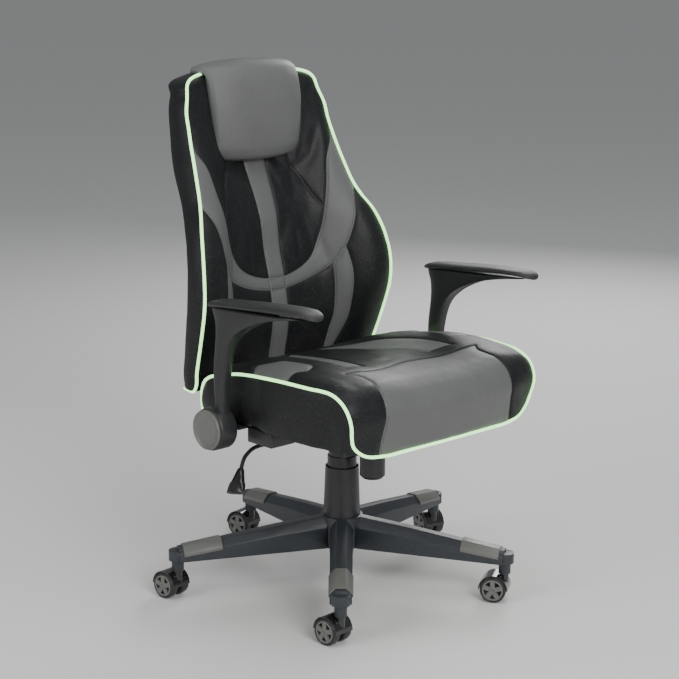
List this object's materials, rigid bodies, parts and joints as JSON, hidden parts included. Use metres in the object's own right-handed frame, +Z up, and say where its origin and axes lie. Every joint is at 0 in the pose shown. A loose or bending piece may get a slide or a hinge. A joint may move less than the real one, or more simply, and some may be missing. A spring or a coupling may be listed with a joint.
{
  "type": "gaming chair",
  "caption": "Swivel chair with a contoured two-colour back, sculpted seat, lit piping, flip-up arms, height and tilt control and a wheeled star base.",
  "frame": {"origin": "on the floor, on the axis of the gas lift", "axes": "+Z up, the chair faces -Y, the sitter's left is +X"},
  "size_m": [0.7304, 0.7326, 1.075],
  "materials": {
    "base_nylon": "satin moulded",
    "grey_plastic": "satin moulded",
    "lift_tube_paint": "satin",
    "acetal": "smooth",
    "bright_steel": "ground",
    "zinc_screws": "zinc plated",
    "spring_steel": "black oxide",
    "cover_plastic": "fine grain",
    "mechanism_paint": "powder coat",
    "plywood": "bare",
    "black_leather": "soft grain",
    "grey_leather": "soft grain",
    "light_piping": "frosted light guide",
    "arm_nylon": "fine grain",
    "arm_pad_skin": "soft touch",
    "hood_gloss": "glossy",
    "caster_steel": "plated",
    "wheel_nylon": "satin"
  },
  "bodies": {
    "base": {"base_star": "base_nylon", "foot_covers": "grey_plastic", "lift_outer_tube": "lift_tube_paint", "lift_guide_bush": "acetal", "lift_thrust_bearing": "bright_steel", "column_cover_lower": "cover_plastic"},
    "middle_cover": {"column_cover_middle": "cover_plastic"},
    "spindle": {"lift_piston_rod": "bright_steel"},
    "mechanism": {"lift_cylinder": "bright_steel", "mechanism_housing": "mechanism_paint", "tilt_pin": "bright_steel", "column_cover_upper": "cover_plastic", "tension_spring": "spring_steel"},
    "tension_rod": {"tension_bolt": "bright_steel"},
    "tension_knob": {"tension_knob": "cover_plastic"},
    "lock_slider": {"tilt_lock_slider": "cover_plastic"},
    "lever": {"lever_rod": "mechanism_paint", "lever_paddle": "cover_plastic"},
    "valve": {"valve_pin": "bright_steel"},
    "seat": {"seat_plate": "mechanism_paint", "seat_pan": "plywood", "seat_cushion": "black_leather", "seat_light_piping": "light_piping", "light_controller": "cover_plastic", "back_brackets": "mechanism_paint", "back_board": "plywood", "back_cushion": "black_leather", "headrest_pad": "grey_leather", "back_light_piping": "light_piping", "arm_bracket_left": "mechanism_paint", "arm_bracket_right": "mechanism_paint", "frame_screws": "zinc_screws", "arm_pivot_bolt_left": "bright_steel", "arm_pivot_bolt_right": "bright_steel"},
    "arm_left": {"arm_frame_left": "arm_nylon", "arm_pad_left": "arm_pad_skin", "arm_hub_cap_left": "grey_plastic"},
    "arm_right": {"arm_frame_right": "arm_nylon", "arm_pad_right": "arm_pad_skin", "arm_hub_cap_right": "grey_plastic"},
    "caster_front_right": {"caster_front_right_hood": "hood_gloss", "caster_front_right_stem_and_axle": "caster_steel"},
    "caster_front_right_outer_roll": {"caster_front_right_outer_wheel": "wheel_nylon"},
    "caster_front_right_inner_roll": {"caster_front_right_inner_wheel": "wheel_nylon"},
    "caster_front_left": {"caster_front_left_hood": "hood_gloss", "caster_front_left_stem_and_axle": "caster_steel"},
    "caster_front_left_outer_roll": {"caster_front_left_outer_wheel": "wheel_nylon"},
    "caster_front_left_inner_roll": {"caster_front_left_inner_wheel": "wheel_nylon"},
    "caster_left": {"caster_left_hood": "hood_gloss", "caster_left_stem_and_axle": "caster_steel"},
    "caster_left_outer_roll": {"caster_left_outer_wheel": "wheel_nylon"},
    "caster_left_inner_roll": {"caster_left_inner_wheel": "wheel_nylon"},
    "caster_rear": {"caster_rear_hood": "hood_gloss", "caster_rear_stem_and_axle": "caster_steel"},
    "caster_rear_outer_roll": {"caster_rear_outer_wheel": "wheel_nylon"},
    "caster_rear_inner_roll": {"caster_rear_inner_wheel": "wheel_nylon"},
    "caster_right": {"caster_right_hood": "hood_gloss", "caster_right_stem_and_axle": "caster_steel"},
    "caster_right_outer_roll": {"caster_right_outer_wheel": "wheel_nylon"},
    "caster_right_inner_roll": {"caster_right_inner_wheel": "wheel_nylon"}
  },
  "joints": [
    {"name": "seat_swivel", "type": "hinge", "parent": "base", "child": "spindle", "pos_m": [0, 0, 0.069], "axis": [0, 0, 1], "continuous": true},
    {"name": "seat_lift", "type": "slide", "parent": "spindle", "child": "mechanism", "axis": [0, 0, 1], "range_m": [0, 0.1]},
    {"name": "cover_slide", "type": "slide", "parent": "base", "child": "middle_cover", "axis": [0, 0, 1], "range_m": [0, 0.05]},
    {"name": "seat_tilt", "type": "hinge", "parent": "mechanism", "child": "seat", "pos_m": [0, -0.055, 0.352], "axis": [-1, 0, 0], "range_deg": [0, 12], "stiffness_Nm_per_rad": 250, "springref_deg": -22.92},
    {"name": "tension_slide", "type": "slide", "parent": "mechanism", "child": "tension_rod", "axis": [0, 0, 1], "range_m": [0, 0.008], "deforming": ["tension_spring"]},
    {"name": "tension_turn", "type": "hinge", "parent": "tension_rod", "child": "tension_knob", "pos_m": [0, -0.09, 0.27], "axis": [0, 0, 1], "range_deg": [-360, 360]},
    {"name": "tilt_lock", "type": "slide", "parent": "mechanism", "child": "lock_slider", "axis": [-1, 0, 0], "range_m": [0, 0.012]},
    {"name": "lever_lift", "type": "hinge", "parent": "lock_slider", "child": "lever", "pos_m": [-0.063, 0, 0.352], "axis": [0, 1, 0], "range_deg": [0, 3], "stiffness_Nm_per_rad": 4, "springref_deg": -5.73},
    {"name": "valve_press", "type": "slide", "parent": "mechanism", "child": "valve", "axis": [0, 0, -1], "range_m": [0, 0.0036]},
    {"name": "arm_flip_left", "type": "hinge", "parent": "seat", "child": "arm_left", "pos_m": [0.305, 0.04, 0.383], "axis": [-1, 0, 0], "range_deg": [0, 90]},
    {"name": "arm_flip_right", "type": "hinge", "parent": "seat", "child": "arm_right", "pos_m": [-0.305, 0.04, 0.383], "axis": [-1, 0, 0], "range_deg": [0, 90]},
    {"name": "caster_front_right_swivel", "type": "hinge", "parent": "base", "child": "caster_front_right", "pos_m": [-0.24338, -0.25291, 0.07], "axis": [0, 0, 1], "continuous": true},
    {"name": "caster_front_right_outer_roll", "type": "hinge", "parent": "caster_front_right", "child": "caster_front_right_outer_roll", "pos_m": [-0.26048, -0.23384, 0.027], "axis": [0.9984, 0.0558, 0], "continuous": true},
    {"name": "caster_front_right_inner_roll", "type": "hinge", "parent": "caster_front_right", "child": "caster_front_right_inner_roll", "pos_m": [-0.22853, -0.23205, 0.027], "axis": [0.9984, 0.0558, 0], "continuous": true},
    {"name": "caster_front_left_swivel", "type": "hinge", "parent": "base", "child": "caster_front_left", "pos_m": [0.16532, -0.30963, 0.07], "axis": [0, 0, 1], "continuous": true},
    {"name": "caster_front_left_outer_roll", "type": "hinge", "parent": "caster_front_left", "child": "caster_front_left_outer_roll", "pos_m": [0.1412, -0.30102, 0.027], "axis": [0.8508, 0.5255, 0], "continuous": true},
    {"name": "caster_front_left_inner_roll", "type": "hinge", "parent": "caster_front_left", "child": "caster_front_left_inner_roll", "pos_m": [0.16843, -0.2842, 0.027], "axis": [0.8508, 0.5255, 0], "continuous": true},
    {"name": "caster_left_swivel", "type": "hinge", "parent": "base", "child": "caster_left", "pos_m": [0.34556, 0.06155, 0.07], "axis": [0, 0, 1], "continuous": true},
    {"name": "caster_left_outer_roll", "type": "hinge", "parent": "caster_left", "child": "caster_left_outer_roll", "pos_m": [0.33561, 0.08515, 0.027], "axis": [0.9622, -0.2723, 0], "continuous": true},
    {"name": "caster_left_inner_roll", "type": "hinge", "parent": "caster_left", "child": "caster_left_inner_roll", "pos_m": [0.3664, 0.07644, 0.027], "axis": [0.9622, -0.2723, 0], "continuous": true},
    {"name": "caster_rear_swivel", "type": "hinge", "parent": "base", "child": "caster_rear", "pos_m": [0.04824, 0.34767, 0.07], "axis": [0, 0, 1], "continuous": true},
    {"name": "caster_rear_outer_roll", "type": "hinge", "parent": "caster_rear", "child": "caster_rear_outer_roll", "pos_m": [0.02827, 0.3637, 0.027], "axis": [0.9759, 0.2181, 0], "continuous": true},
    {"name": "caster_rear_inner_roll", "type": "hinge", "parent": "caster_rear", "child": "caster_rear_inner_roll", "pos_m": [0.05949, 0.37068, 0.027], "axis": [0.9759, 0.2181, 0], "continuous": true},
    {"name": "caster_right_swivel", "type": "hinge", "parent": "base", "child": "caster_right", "pos_m": [-0.31574, 0.15332, 0.07], "axis": [0, 0, 1], "continuous": true},
    {"name": "caster_right_outer_roll", "type": "hinge", "parent": "caster_right", "child": "caster_right_outer_roll", "pos_m": [-0.33381, 0.17147, 0.027], "axis": [0.9942, 0.108, 0], "continuous": true},
    {"name": "caster_right_inner_roll", "type": "hinge", "parent": "caster_right", "child": "caster_right_inner_roll", "pos_m": [-0.302, 0.17493, 0.027], "axis": [0.9942, 0.108, 0], "continuous": true}
  ],
  "couplings": [
    {"joint": "cover_slide", "follows": "seat_lift", "ratio": 0.5},
    {"joint": "tension_slide", "follows": "seat_tilt", "m_per_rad": 0.035},
    {"joint": "valve_press", "follows": "lever_lift", "m_per_rad": 0.0672}
  ]
}
